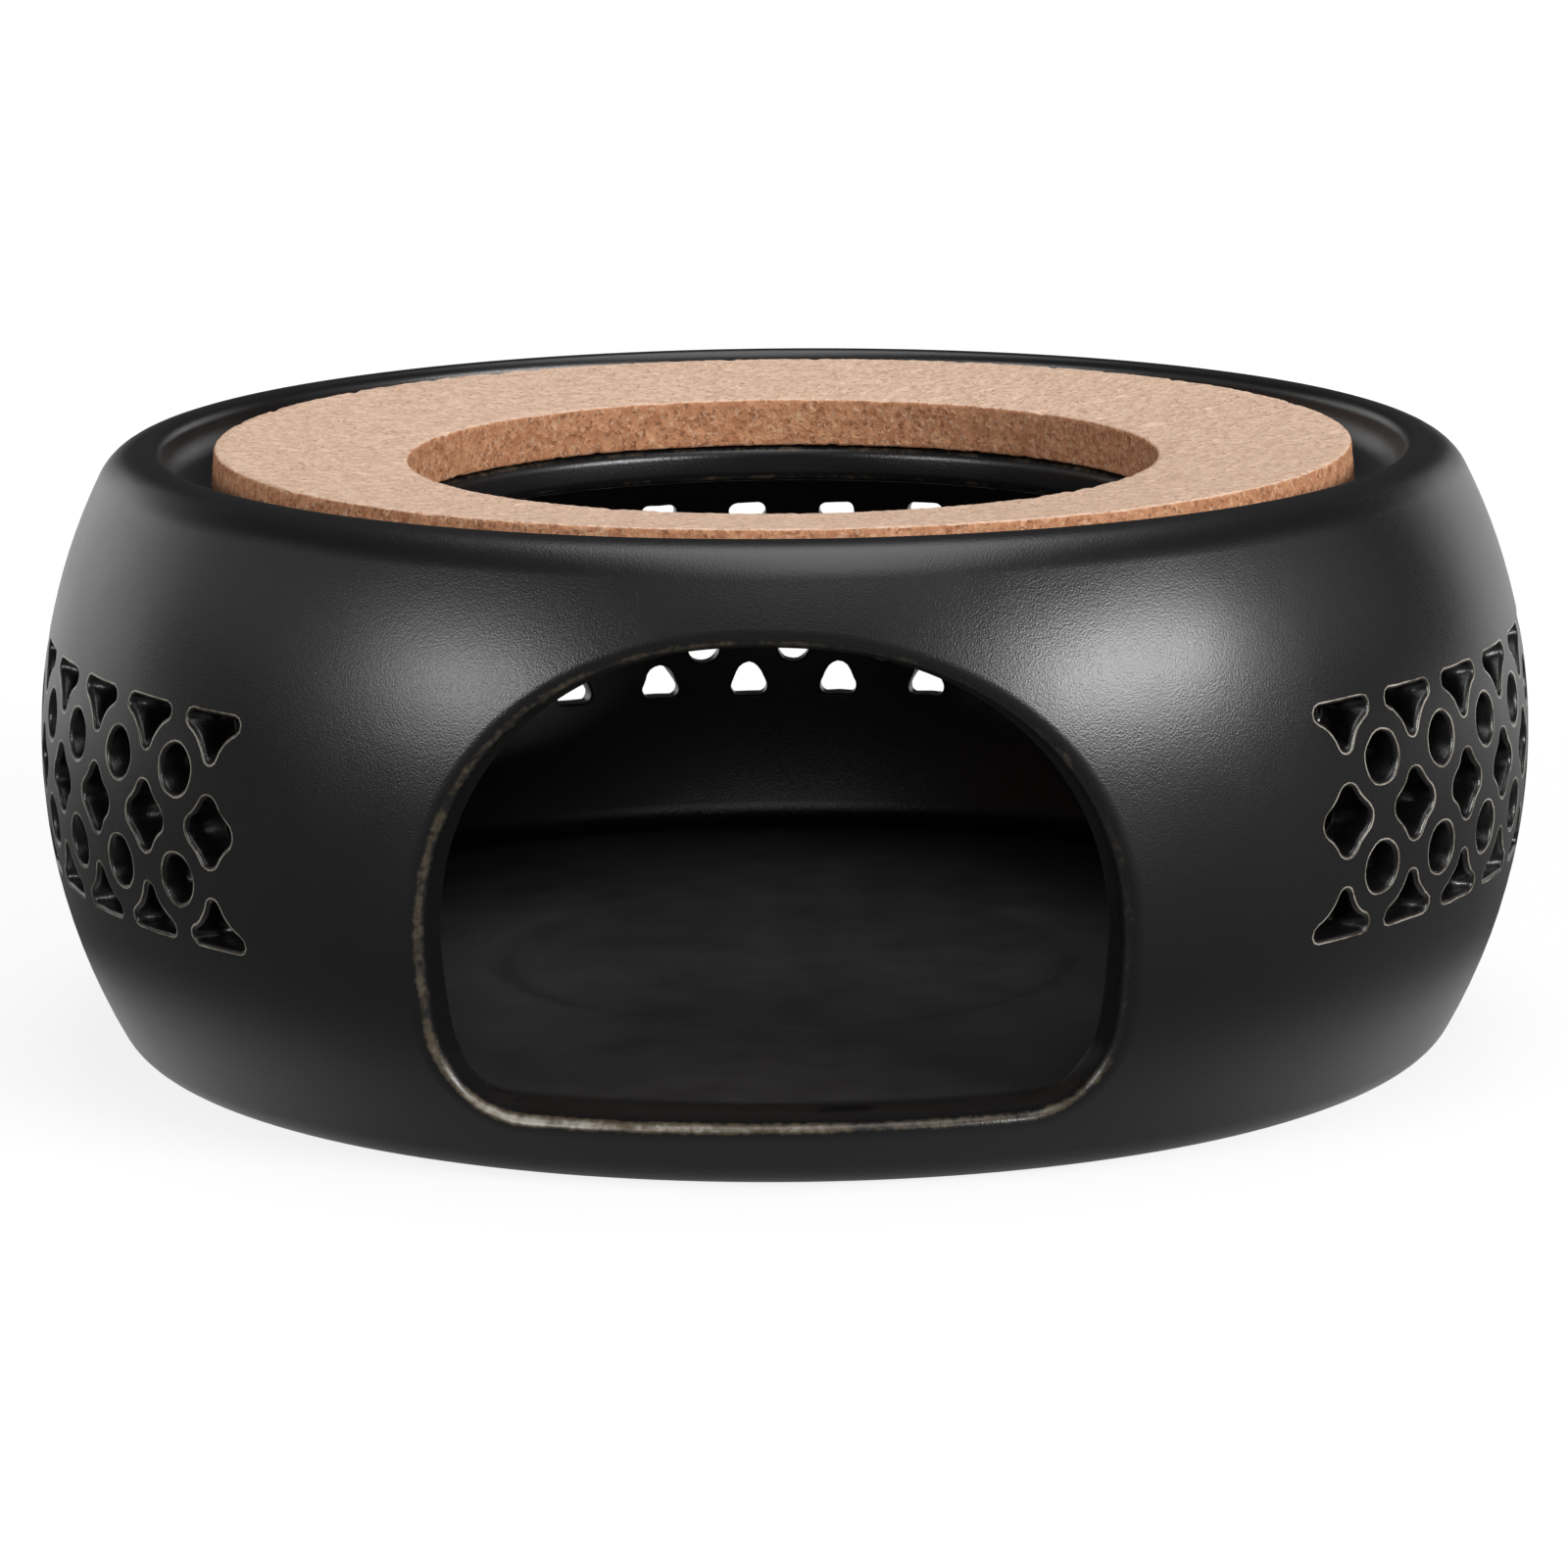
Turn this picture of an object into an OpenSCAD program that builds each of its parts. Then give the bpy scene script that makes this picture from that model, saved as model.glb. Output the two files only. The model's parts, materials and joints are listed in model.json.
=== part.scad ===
// Teapot warmer: a cast ceramic stove with an arched window for the burner,
// a pierced band of stars and circles, and a loose cork ring on its seat.
// The origin is the middle of the foot, +Z is up and the window faces -Y.

/* [Body] */
// Outside diameter at the belly
body_d = 150; // [140:1:160]
// Height from the foot to the rim's crest
body_h = 60.7; // [58:0.1:66]
// Height of the widest place
belly_z = 31; // [29:0.5:33]
// Radius of the belly's section arc
belly_arc = 59; // [54:1:66]
// Radius where the belly turns over into the rim
rim_round = 5.5; // [4:0.5:7]
// Radius where the belly turns under into the foot
base_round = 5; // [3:0.5:8]
// Wall thickness
wall = 4.5; // [3.5:0.1:6]
// Radius between the wall and the flange, inside
shoulder_round = 6; // [3:0.5:9]

/* [Floor and foot] */
// Height of the chamber's floor
floor_z = 7.2; // [6:0.1:9]
// Radius between the floor and the wall, inside
floor_round = 8; // [4:0.5:12]
// Outside diameter of the burner's hollow in the floor
hollow_d = 61; // [44:1:80]
// Width of the hollow's soft slope
hollow_slope = 5; // [3:0.5:8]
// Depth of the burner's hollow
hollow_depth = 1.3; // [0.6:0.1:2]
// Width of the flat that the foot ring stands on
foot_w = 7.3; // [3:0.1:18]
// Depth of the recess inside the foot ring
foot_recess = 1.4; // [0.8:0.1:2]

/* [Seat] */
// Depth of the seat's slope below the rim, measured under the rim's crest
seat_depth = 4.75; // [3:0.05:6.5]
// Slope of the seat towards its hole, in degrees
seat_slope = 5; // [2:0.5:8]
// Radius of the rim's inner edge
lip_round = 2.3; // [1.5:0.1:3]
// Radius of the groove round the seat
dish_round = 4; // [3:0.1:5]
// Thickness of the flange under the seat
flange_t = 3.8; // [3:0.1:5]
// Diameter of the hole in the flange
seat_hole_d = 76; // [60:1:88]
// Radius on the hole's two edges
nose_round = 1.2; // [0.6:0.1:1.4]

/* [Window] */
// Width of the window along the belly
window_w = 68.5; // [50:0.5:80]
// Height of the sill at the outer surface
window_bottom = 6.6; // [6:0.1:9]
// Height of the arch's top at the outer surface
window_top = 51.9; // [42:0.1:52]
// Height where the arch springs from the straight sides
window_spring = 20; // [18:0.5:26]
// Radius of the two lower corners
window_corner = 8.5; // [5:0.5:11]
// Fullness of the arch: 2 is an ellipse, more is squarer
window_fullness = 2.3; // [2:0.05:2.6]
// Share of the wall's tilt that the cut edges follow
window_tilt = 0.4; // [0:0.1:1]
// Depth of the sill's sloping front, before it levels out to the floor
sill_w = 3.6; // [2:0.1:4]
// Height of the level part of the sill above the floor
sill_lift = 0.05; // [0.05:0.05:0.5]

/* [Lattice] */
// Angle from the window's middle to the first star
lattice_start = 45.5; // [42:0.5:60]
// Number of star columns
star_columns = 34; // [32:2:36]
// Height of the star row
lattice_z = 31.2; // [30:0.1:32.5]
// Height from the star row to each row of circles
row_rise = 5.4; // [5.2:0.1:5.8]
// Height from the star row to the triangles' flat edges
edge_rise = 10.95; // [10.4:0.05:11.6]
// Diameter of the circles
circle_d = 4.4; // [3.8:0.1:5]
// Least width of the webs round the circles
web = 2.85; // [2.6:0.05:3]
// Radius of the stars' tips
star_tip = 1.2; // [0.9:0.05:1.3]
// Radius of the triangles' long tips
triangle_tip = 0.7; // [0.5:0.05:0.8]
// Radius of the triangles' two corners
triangle_corner = 0.6; // [0.4:0.05:0.7]

/* [Cork ring] */
// Clearance between the ring's edge and the groove round the seat
cork_side_gap = 0.35; // [0.1:0.05:4]
// Diameter of the ring's hole
cork_hole_d = 76.2; // [60:0.2:88]
// Thickness of the ring
cork_t = 5.1; // [3:0.1:8]
// Clearance between the ring and the seat under it
cork_gap = 0.1; // [0.05:0.05:0.3]

/* [Hidden] */

// How far each cut runs past the faces that it opens
over = 2;
// Number of straight steps round the arch, round each lower corner and along the sill
arch_steps = 36;
corner_steps = 8;
sill_steps = 10;
// Angle of each straight step of the belly's arc, set so that a circle lies in one step
belly_step = 5.4;
$fn = 120;
small_fn = 40;

// Centre of the belly's section arc
belly = [body_d / 2 - belly_arc, belly_z];
// Centre line of the rim's crest
rim_turn = belly_arc - rim_round;
crest_r = belly.x + sqrt(pow(rim_turn, 2) - pow(body_h - rim_round - belly.y, 2));
// Centre line of the round under the belly, and the radius inside the foot ring
base_turn = belly_arc - base_round;
base_r = belly.x + sqrt(pow(base_turn, 2) - pow(base_round - belly.y, 2));
foot_r = base_r - foot_w;

// Height of the seat, and of the flange's underside, at a radius
function seat_z(r) = body_h - seat_depth + (r - crest_r) * tan(seat_slope);
function flange_z(r) = seat_z(r) - flange_t / cos(seat_slope);
// A unit step along the seat, outwards, and one square to it, upwards
along = [cos(seat_slope), sin(seat_slope)];
square_to = [-sin(seat_slope), cos(seat_slope)];

// Centres of the rim's inner edge and of the groove, which touch each other
lip = [crest_r, body_h - lip_round];
dish_step = lip_round + dish_round;
dish_lift = (seat_z(lip.x) - lip.y) * cos(seat_slope) + dish_round;
dish_angle = asin(dish_lift / dish_step) - seat_slope;
dish = lip + dish_step * [-cos(dish_angle), sin(dish_angle)];
// Radius of the ring that lies on the seat inside the groove
cork_r = dish.x + dish_round * sin(seat_slope) - cork_side_gap;

// Pitch of the star columns in degrees, and half of it along the belly
pitch = (360 - 2 * lattice_start) / (star_columns - 1);
half_pitch = PI * body_d * pitch / 720;
// Radius of the concave sides, which keep the web even round each circle
side_r = circle_d / 2 + web;

// Reach of a tip or corner from an axis, where its round meets two concave sides
function other_leg(long_side, leg) = sqrt(pow(long_side, 2) - pow(leg, 2));
star_x = half_pitch - other_leg(side_r + star_tip, row_rise);
star_y = row_rise - other_leg(side_r + star_tip, half_pitch);
tip_y = row_rise + other_leg(side_r + triangle_tip, half_pitch);
corner_y = edge_rise - triangle_corner;
corner_x = half_pitch - other_leg(side_r + triangle_corner, corner_y - row_rise);

// A point on the way from the centre of one round to that of the next
function between(from, to, step) = from + step * (to - from) / norm(to - from);

// Half of a barrel's section: a belly arc between rounded top and bottom corners.
// The top edge climbs outwards at slope degrees and starts at top_z on the axis.
module barrel_section(arc_r, top_z, slope, top_r, bottom_z, bottom_r) {
    top_angle = slope
        + asin(((top_z + belly.x * tan(slope) - belly.y) * cos(slope) - top_r) / (arc_r - top_r));
    bottom_angle = asin((bottom_z + bottom_r - belly.y) / (arc_r - bottom_r));
    top_c = belly + (arc_r - top_r) * [cos(top_angle), sin(top_angle)];
    bottom_c = belly + (arc_r - bottom_r) * [cos(bottom_angle), sin(bottom_angle)];
    inner_steps = [for (i = [floor(bottom_angle / belly_step):ceil(top_angle / belly_step)])
        let (turn = (i + 0.5) * belly_step) if (turn > bottom_angle && turn < top_angle) turn];
    polygon(concat([belly], [for (turn = concat([bottom_angle], inner_steps, [top_angle]))
        belly + arc_r * [cos(turn), sin(turn)]]));
    translate(top_c) circle(r = top_r);
    translate(bottom_c) circle(r = bottom_r);
    polygon([
        [0, bottom_z],
        [bottom_c.x, bottom_z],
        bottom_c,
        top_c,
        top_c + top_r * [-sin(slope), cos(slope)],
        [0, top_z],
    ]);
}

// Space above the seat, with the groove that rises to the rim's inner edge
module dish_space() {
    difference() {
        union() {
            polygon([
                [0, seat_z(0)],
                dish - dish_round * square_to,
                dish,
                lip,
                [lip.x, body_h + over],
                [0, body_h + over],
            ]);
            translate(dish) circle(r = dish_round, $fn = small_fn);
        }
        translate(lip) circle(r = lip_round, $fn = small_fn);
    }
}

// The corner between the hole's wall and a sloping face, outside its round.
// The side is 1 for the seat and -1 for the flange's underside.
module nose_space(side) {
    hole_r = seat_hole_d / 2;
    centre_x = hole_r + nose_round;
    face_z = side > 0 ? seat_z(centre_x) : flange_z(centre_x);
    centre = [centre_x, face_z - side * nose_round / cos(seat_slope)];
    touch = centre + side * nose_round * square_to;
    difference() {
        polygon([
            [hole_r - nose_round, centre.y],
            centre,
            touch,
            touch + side * nose_round * square_to,
            [hole_r - nose_round, touch.y + side * nose_round],
        ]);
        translate(centre) circle(r = nose_round, $fn = small_fn);
    }
}

// Round opening through the flange
module hole_space() {
    translate([0, floor_z]) square([seat_hole_d / 2, body_h]);
    nose_space(1);
    nose_space(-1);
}

// Shallow round hollow in the floor, with a slope that curves in and out
module hollow_space() {
    slope_r = (pow(hollow_slope, 2) + pow(hollow_depth, 2)) / (4 * hollow_depth);
    outer_r = hollow_d / 2;
    inner_r = outer_r - hollow_slope;
    low = floor_z - hollow_depth;
    translate([0, low]) square([inner_r, hollow_depth + over]);
    intersection() {
        translate([inner_r, low]) square([hollow_slope / 2, hollow_depth]);
        translate([inner_r, low + slope_r]) circle(r = slope_r);
    }
    difference() {
        translate([inner_r + hollow_slope / 2, low]) square([hollow_slope / 2, hollow_depth]);
        translate([outer_r, floor_z - slope_r]) circle(r = slope_r);
    }
}

// Recess inside the foot ring, with a rounded inner corner
module foot_space() {
    square([foot_r - foot_recess, foot_recess]);
    intersection() {
        square([foot_r, foot_recess]);
        translate([foot_r - foot_recess, 0]) circle(r = foot_recess, $fn = small_fn);
    }
}

// Half of the body's section
module body_section() {
    difference() {
        barrel_section(belly_arc, body_h, 0, rim_round, 0, base_round);
        barrel_section(belly_arc - wall, flange_z(0), seat_slope, shoulder_round, floor_z, floor_round);
        dish_space();
        hole_space();
        hollow_space();
        foot_space();
    }
}

// Outline of the window as [length along the belly, height] pairs
half_w = window_w / 2;
corner_c = [half_w - window_corner, window_bottom + window_corner];
function corner_point(turn) = corner_c + window_corner * [cos(turn), sin(turn)];
function arch_point(turn) = [
    half_w * sign(cos(turn)) * pow(abs(cos(turn)), 2 / window_fullness),
    window_spring + (window_top - window_spring) * pow(sin(turn), 2 / window_fullness),
];
corner_line = [for (i = [0:corner_steps]) corner_point(-90 + 90 * i / corner_steps)];
arch_line = [for (i = [0:arch_steps]) arch_point(180 * i / arch_steps)];
mirror_line = [for (i = [corner_steps:-1:0]) [-corner_line[i].x, corner_line[i].y]];
sill_line = [for (i = [1:sill_steps - 1]) [corner_c.x * (2 * i / sill_steps - 1), window_bottom]];
window_line = concat(corner_line, arch_line, mirror_line, sill_line);

// A window point carried along the cut: step is outwards from the outer surface.
// The lower half of the cut climbs no higher than the floor's level.
function window_ray(p, step) = let (
    rise = asin((p.y - belly.y) / belly_arc),
    turn = 360 * p.x / (PI * body_d),
    r = belly.x + belly_arc * cos(rise) + step,
    level = max(p.y, floor_z + sill_lift),
    z = min(level, p.y + window_tilt * tan(rise) * step)
) [r * sin(turn), -r * cos(turn), z];

// Solid that cuts the window, square to the belly all the way round
module window_cut() {
    count = len(window_line);
    depth = wall + floor_round;
    middle = [0, (window_top + window_bottom) / 2];
    points = concat(
        [for (step = [over, -sill_w, -depth], p = window_line) window_ray(p, step)],
        [window_ray(middle, over + wall), window_ray(middle, -depth)]
    );
    walls = [for (ring = [0, count], i = [0:count - 1]) let (j = (i + 1) % count) each [
        [i, j, i + count] + ring * [1, 1, 1],
        [j, j + count, i + count] + ring * [1, 1, 1],
    ]];
    caps = [for (i = [0:count - 1]) let (j = (i + 1) % count) each [
        [3 * count, j, i],
        [3 * count + 1, i + 2 * count, j + 2 * count],
    ]];
    polyhedron(points, concat(walls, caps));
}

// Outline of a star hole: four concave sides and four round tips
module star_shape() {
    tips = [[star_x, 0], [0, star_y], [-star_x, 0], [0, -star_y]];
    sides = [for (x = [1, -1], y = [1, -1]) [x * half_pitch, y * row_rise]];
    difference() {
        polygon([for (i = [0:3]) let (
            before = [half_pitch * sign(tips[i].x + tips[i].y), -row_rise * sign(tips[i].x - tips[i].y)],
            after = [half_pitch * sign(tips[i].x - tips[i].y), row_rise * sign(tips[i].x + tips[i].y)]
        ) each [between(tips[i], before, star_tip), tips[i], between(tips[i], after, star_tip)]]);
        for (side = sides) translate(side) circle(r = side_r, $fn = small_fn);
    }
    for (tip = tips) translate(tip) circle(r = star_tip, $fn = small_fn);
}

// Outline of a half-star hole above the row: a flat top, concave sides, a tip below
module triangle_shape() {
    corner = [corner_x, corner_y];
    tip = [0, tip_y];
    side = [half_pitch, row_rise];
    right_line = [
        between(tip, side, triangle_tip),
        between(corner, side, triangle_corner),
        corner,
        [corner.x, edge_rise],
    ];
    difference() {
        polygon(concat([tip], right_line, [for (i = [3:-1:0]) [-right_line[i].x, right_line[i].y]]));
        for (x = [1, -1]) translate([x * side.x, side.y]) circle(r = side_r, $fn = small_fn);
    }
    translate(tip) circle(r = triangle_tip, $fn = small_fn);
    for (x = [1, -1]) translate([x * corner.x, corner.y]) circle(r = triangle_corner, $fn = small_fn);
}

// Cuts a flat outline through the wall, square to it, at an angle from the window
module through_wall(turn) {
    rotate([0, 0, turn])
        translate([0, over + wall - body_d / 2, lattice_z])
            rotate([90, 0, 0])
                linear_extrude(wall + 2 * over) children();
}

// All holes of the pierced band
module lattice_cuts() {
    for (column = [0:star_columns - 1]) through_wall(lattice_start + column * pitch) {
        star_shape();
        triangle_shape();
        mirror([0, 1]) triangle_shape();
    }
    for (column = [0:star_columns - 2]) through_wall(lattice_start + (column + 0.5) * pitch) {
        for (row = [1, -1]) translate([0, row * row_rise]) circle(d = circle_d, $fn = small_fn);
    }
}

// The cast ceramic body, in one piece
module stove_body() {
    color([0.09, 0.09, 0.095]) difference() {
        rotate_extrude() body_section();
        window_cut();
        lattice_cuts();
    }
}

// The loose cork ring, which sags to the slope of its seat
module cork_ring() {
    corner = [cork_hole_d / 2, seat_z(cork_hole_d / 2) + cork_gap / cos(seat_slope)];
    width = (cork_r - cork_hole_d / 2) / cos(seat_slope);
    color([0.8, 0.66, 0.54]) rotate_extrude() polygon([
        corner,
        corner + width * along,
        corner + width * along + cork_t * square_to,
        corner + cork_t * square_to,
    ]);
}

stove_body();
cork_ring();
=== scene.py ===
# %% [markdown]
# A teapot warmer: a squat ceramic stove with an arched window for the burner,
# a pierced band of stars and circles round its sides and back, and a loose ring
# of pressed cork on its sunken seat. The sizes and the place come from the
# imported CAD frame, which is loaded first. Blender then adds what makes the
# object look fired and glazed: soft edges, the brown lines where the glaze
# runs thin, and the grain of the cork.

# %% Load the frame
import bpy
import bmesh
from math import asin, atan2, ceil, cos, degrees, hypot, pi, radians, sin, sqrt, tan
from mathutils import Matrix, Vector, geometry, noise
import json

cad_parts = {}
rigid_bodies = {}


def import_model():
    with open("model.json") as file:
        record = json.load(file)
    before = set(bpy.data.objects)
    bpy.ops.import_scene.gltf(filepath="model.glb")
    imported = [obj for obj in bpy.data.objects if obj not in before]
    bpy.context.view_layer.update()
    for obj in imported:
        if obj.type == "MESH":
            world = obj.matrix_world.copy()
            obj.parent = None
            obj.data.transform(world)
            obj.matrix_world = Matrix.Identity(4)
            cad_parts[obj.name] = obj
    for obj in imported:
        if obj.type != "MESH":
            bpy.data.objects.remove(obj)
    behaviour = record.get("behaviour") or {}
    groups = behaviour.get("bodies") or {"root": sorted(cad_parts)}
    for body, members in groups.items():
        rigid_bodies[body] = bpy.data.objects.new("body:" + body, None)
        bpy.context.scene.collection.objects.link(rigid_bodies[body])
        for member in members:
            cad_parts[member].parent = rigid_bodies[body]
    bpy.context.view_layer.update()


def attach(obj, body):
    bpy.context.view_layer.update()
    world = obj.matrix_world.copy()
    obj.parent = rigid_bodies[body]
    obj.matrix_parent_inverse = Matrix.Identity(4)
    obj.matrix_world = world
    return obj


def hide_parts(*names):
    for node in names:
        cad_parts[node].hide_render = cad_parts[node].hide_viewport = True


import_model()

# %% [markdown]
# The whole stove is one surface of revolution with holes in it, so it all
# starts from its section: radius and height, in millimetres as a potter would
# write them. An arc helper gives points on each curve, and every later piece
# of the surface reads the same arcs, which is what makes them meet.

# %% Sizes of the section
MM = 0.001
WIDEST = 75.0
HEIGHT = 60.7
BELLY = Vector((16.0, 31.0))
OUTER = 59.0
WALL = 4.5
INNER = OUTER - WALL
SLOPE = 5.0
CORK_R = 57.5
# The seat's depth below the crest, the flange's thickness under it and the hole in it
SEAT_DROP, FLANGE, SEAT_HOLE = 5.3, 3.8, 38.0
# Radii of the soft turns, from the foot over the rim to the inside
BASE_R, CREST_R, LIP, DISH_R, NOSE_R, SHOULDER_R, FILLET = 5.0, 5.5, 1.3, 4.0, 1.2, 6.0, 4.0
# The recess in the foot, the floor, and the round hollow that keeps the burner in the middle
FOOT_R, FOOT_LIFT = 54.6, 1.4
FLOOR_R, FLOOR_Z, HOLLOW_Z = 52.0, 7.2, 5.9
HOLLOW_OUT, HOLLOW_IN = 32.0, 25.5
HUB = 0.6


def arc(centre, radius, start, end, steps):
    """Points on an arc of the section, both ends included; angles in degrees."""
    turns = [radians(start + (end - start) * i / steps) for i in range(steps + 1)]
    return [Vector((centre[0] + radius * cos(t), centre[1] + radius * sin(t))) for t in turns]


def line(start, end, steps):
    """Points on a straight run of the section, both ends included."""
    return [Vector(start).lerp(Vector(end), i / steps) for i in range(steps + 1)]


def seat_z(r):
    return HEIGHT - SEAT_DROP + (r - CORK_R) * tan(radians(SLOPE))


def flange_z(r):
    return seat_z(r) - FLANGE / cos(radians(SLOPE))


def belly_angle(z, radius):
    """Angle on a belly arc at a height."""
    return degrees(asin((z - BELLY.y) / radius))


# %% Arcs of the outside, from the foot to the seat's hole
def inside_belly(radius, z):
    """Centre, at a height, of a small arc that touches the outer belly arc from inside."""
    return Vector((BELLY.x + sqrt((OUTER - radius) ** 2 - (z - BELLY.y) ** 2), z))


base_c = inside_belly(BASE_R, BASE_R)
crest_c = inside_belly(CREST_R, HEIGHT - CREST_R)
lip_c = Vector((crest_c.x, HEIGHT - LIP))
base_turn = belly_angle(BELLY.y + (base_c.y - BELLY.y) * OUTER / (OUTER - BASE_R), OUTER)
rim_turn = belly_angle(BELLY.y + (crest_c.y - BELLY.y) * OUTER / (OUTER - CREST_R), OUTER)
dish_lift = (seat_z(lip_c.x) - lip_c.y) * cos(radians(SLOPE)) + DISH_R
dish_turn = degrees(asin(dish_lift / (LIP + DISH_R))) - SLOPE
dish_c = lip_c + (LIP + DISH_R) * Vector((-cos(radians(dish_turn)), sin(radians(dish_turn))))
nose_x = SEAT_HOLE + NOSE_R
nose_top = Vector((nose_x, seat_z(nose_x) - NOSE_R / cos(radians(SLOPE))))
nose_low = Vector((nose_x, flange_z(nose_x) + NOSE_R / cos(radians(SLOPE))))

foot_rows = line((HUB, FOOT_LIFT), (FOOT_R, FOOT_LIFT), 7) + arc((FOOT_R, 0), FOOT_LIFT, 90, 0, 4)[1:]
foot_rows += line((FOOT_R + FOOT_LIFT, 0), (base_c.x, 0), 2)[1:]
foot_rows += arc(base_c, BASE_R, -90, base_turn, 9)[1:]
rim_rows = arc(crest_c, CREST_R, rim_turn, 90, 9) + arc(lip_c, LIP, 90, 180 - dish_turn, 7)[1:]
rim_rows += arc(dish_c, DISH_R, -dish_turn, SLOPE - 90, 9)[1:]
seat_row = dish_c + DISH_R * Vector((sin(radians(SLOPE)), -cos(radians(SLOPE))))
nose_rows = arc(nose_top, NOSE_R, 90 + SLOPE, 180, 6)
rim_rows += line(seat_row, nose_rows[0], 5)[1:] + nose_rows[1:]
low_rows = arc(nose_low, NOSE_R, 180, 270 + SLOPE, 6)
rim_rows += low_rows
print("crest radius", round(crest_c.x, 3), "belly arc from", round(base_turn, 2), "to", round(rim_turn, 2))

# %% Arcs of the inside, from the flange's underside to the floor's middle
shoulder_lift = (flange_z(0) + BELLY.x * tan(radians(SLOPE)) - BELLY.y) * cos(radians(SLOPE)) - SHOULDER_R
shoulder_turn = SLOPE + degrees(asin(shoulder_lift / (INNER - SHOULDER_R)))
floor_turn = degrees(asin((FLOOR_Z + FILLET - BELLY.y) / (INNER - FILLET)))


def on_belly(radius, turn):
    return BELLY + radius * Vector((cos(radians(turn)), sin(radians(turn))))


shoulder_c = on_belly(INNER - SHOULDER_R, shoulder_turn)
floor_c = on_belly(INNER - FILLET, floor_turn)
shoulder_rows = arc(shoulder_c, SHOULDER_R, 90 + SLOPE, shoulder_turn, 8)
fillet_rows = arc(floor_c, FILLET, floor_turn, -90, 10)
ceiling_rows = line(low_rows[-1], shoulder_rows[0], 5)
floor_rows = line(fillet_rows[-1], (FLOOR_R, FLOOR_Z), 2)
# The hollow's side is an S of two arcs of one radius, which meet halfway down
run, fall = HOLLOW_OUT - HOLLOW_IN, FLOOR_Z - HOLLOW_Z
slope_r = (run ** 2 + fall ** 2) / (4 * fall)
slope_turn = degrees(asin(run / 2 / slope_r))
middle_rows = line((FLOOR_R, FLOOR_Z), (HOLLOW_OUT, FLOOR_Z), 6)
middle_rows += arc((HOLLOW_OUT, FLOOR_Z - slope_r), slope_r, 90, 90 + slope_turn, 5)[1:]
middle_rows += arc((HOLLOW_IN, HOLLOW_Z + slope_r), slope_r, slope_turn - 90, -90, 5)[1:]
middle_rows += line((HOLLOW_IN, HOLLOW_Z), (HUB, HOLLOW_Z), 6)[1:]
print("inner belly arc from", round(floor_turn, 2), "to", round(shoulder_turn, 2))

# %% [markdown]
# The mesh is gathered in one plain shell: a list of points, a list of faces
# and, for each point, how thin the glaze is there. Thin glaze is a fact of
# the surface, so it travels with the mesh as an attribute and the material
# only has to read it. Round the pierced holes the same value also paints a
# light line that is partly thin glaze and partly a painted highlight.
# Sweeping rows of the section round the axis gives the plain zones; the
# zones with holes come after.

# %% A shell that gathers the surface
shell_points, shell_faces, shell_thin = [], [], []


def spot(turn, r, z):
    """A point in metres: turn is in degrees from the window's middle."""
    t = radians(turn)
    return Vector((r * sin(t), -r * cos(t), z)) * MM


def add_points(points, thin=0.0):
    first = len(shell_points)
    shell_points.extend(points)
    shell_thin.extend([thin] * len(points) if isinstance(thin, float) else thin)
    return list(range(first, first + len(points)))


def quads(one, two, closed=False):
    """Faces between two rows of the same length."""
    made = list(zip(one, one[1:] + one[:1], two[1:] + two[:1], two))
    return made if closed else made[:-1]


def skin(rows, thins, closed=False):
    """Adds rows of points to the shell, each joined to the one before."""
    last = None
    for row, thin in zip(rows, thins):
        ids = add_points(row, thin)
        if last:
            shell_faces.extend(quads(last, ids, closed))
        last = ids


def sweep(rows, turns, thins=None):
    """Turns rows of the section through the given angles."""
    skin([[spot(t, r, z) for t in turns] for r, z in rows], thins or [0.0] * len(rows))


# %% Angles of the columns
LEFT, RIGHT = 45.5, 45.95
COLUMNS = 34
# Columns of faces for each repeat of the band and over the whole front
PER_REPEAT, FRONT_STEPS = 4, 44
PITCH = (360 - LEFT - RIGHT) / (COLUMNS - 1)
back_turns = [RIGHT + PITCH * i / PER_REPEAT for i in range(PER_REPEAT * (COLUMNS - 1) + 1)]
front_turns = [-LEFT + (LEFT + RIGHT) * i / FRONT_STEPS for i in range(FRONT_STEPS + 1)]
round_turns = back_turns + [360 + t for t in front_turns[1:]]
print("pitch", round(PITCH, 4), "degrees,", len(round_turns) - 1, "columns of faces")

# %% Plain zones: foot, rim, seat, flange and floor
# The glaze thins a little at both edges of the seat's hole, whose rows come last
NOSE_THIN = [0.0, 0.1, 0.3, 0.3, 0.1, 0.0, 0.0]
seat_thin = [0.0] * (len(rim_rows) - 2 * len(NOSE_THIN)) + 2 * NOSE_THIN
sweep(foot_rows, round_turns)
sweep(rim_rows, round_turns, seat_thin)
sweep(ceiling_rows, round_turns)
sweep(middle_rows, round_turns)
for z in (FOOT_LIFT, HOLLOW_Z):
    hub = add_points([Vector((0, 0, z * MM))])[0]
    ring = add_points([spot(t, HUB, z) for t in round_turns])
    for a, b in zip(ring, ring[1:]):
        shell_faces.append((hub, a, b))
print("plain zones:", len(shell_faces), "faces")

# %% [markdown]
# The pierced band is the part that takes the most skill on the real stove:
# stars and circles are cut through leather-hard clay in a curved wall, and the
# glaze later draws back from every cut edge. All stars have four concave
# sides, and each side is an arc round the neighbouring circle, so one quarter
# of one repeat holds the whole rule. That quarter is drawn flat here, with
# rounded edges, from arcs whose radius grows and shrinks with the offset.

# %% Sizes of the pierced band
# Half a repeat along the widest circle, then how far the circles, the triangles' flat edges and the
# borders of the band lie from the middle row, and the height of that row
HALF = pi * 2 * WIDEST * PITCH / 720
RISE = 5.3
CIRCLE_CUT, WEB = 4.4 / 2, 2.85
SIDE = CIRCLE_CUT + WEB
EDGE = 11.1
BAND = 12.8
BAND_Z = 31.6
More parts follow.
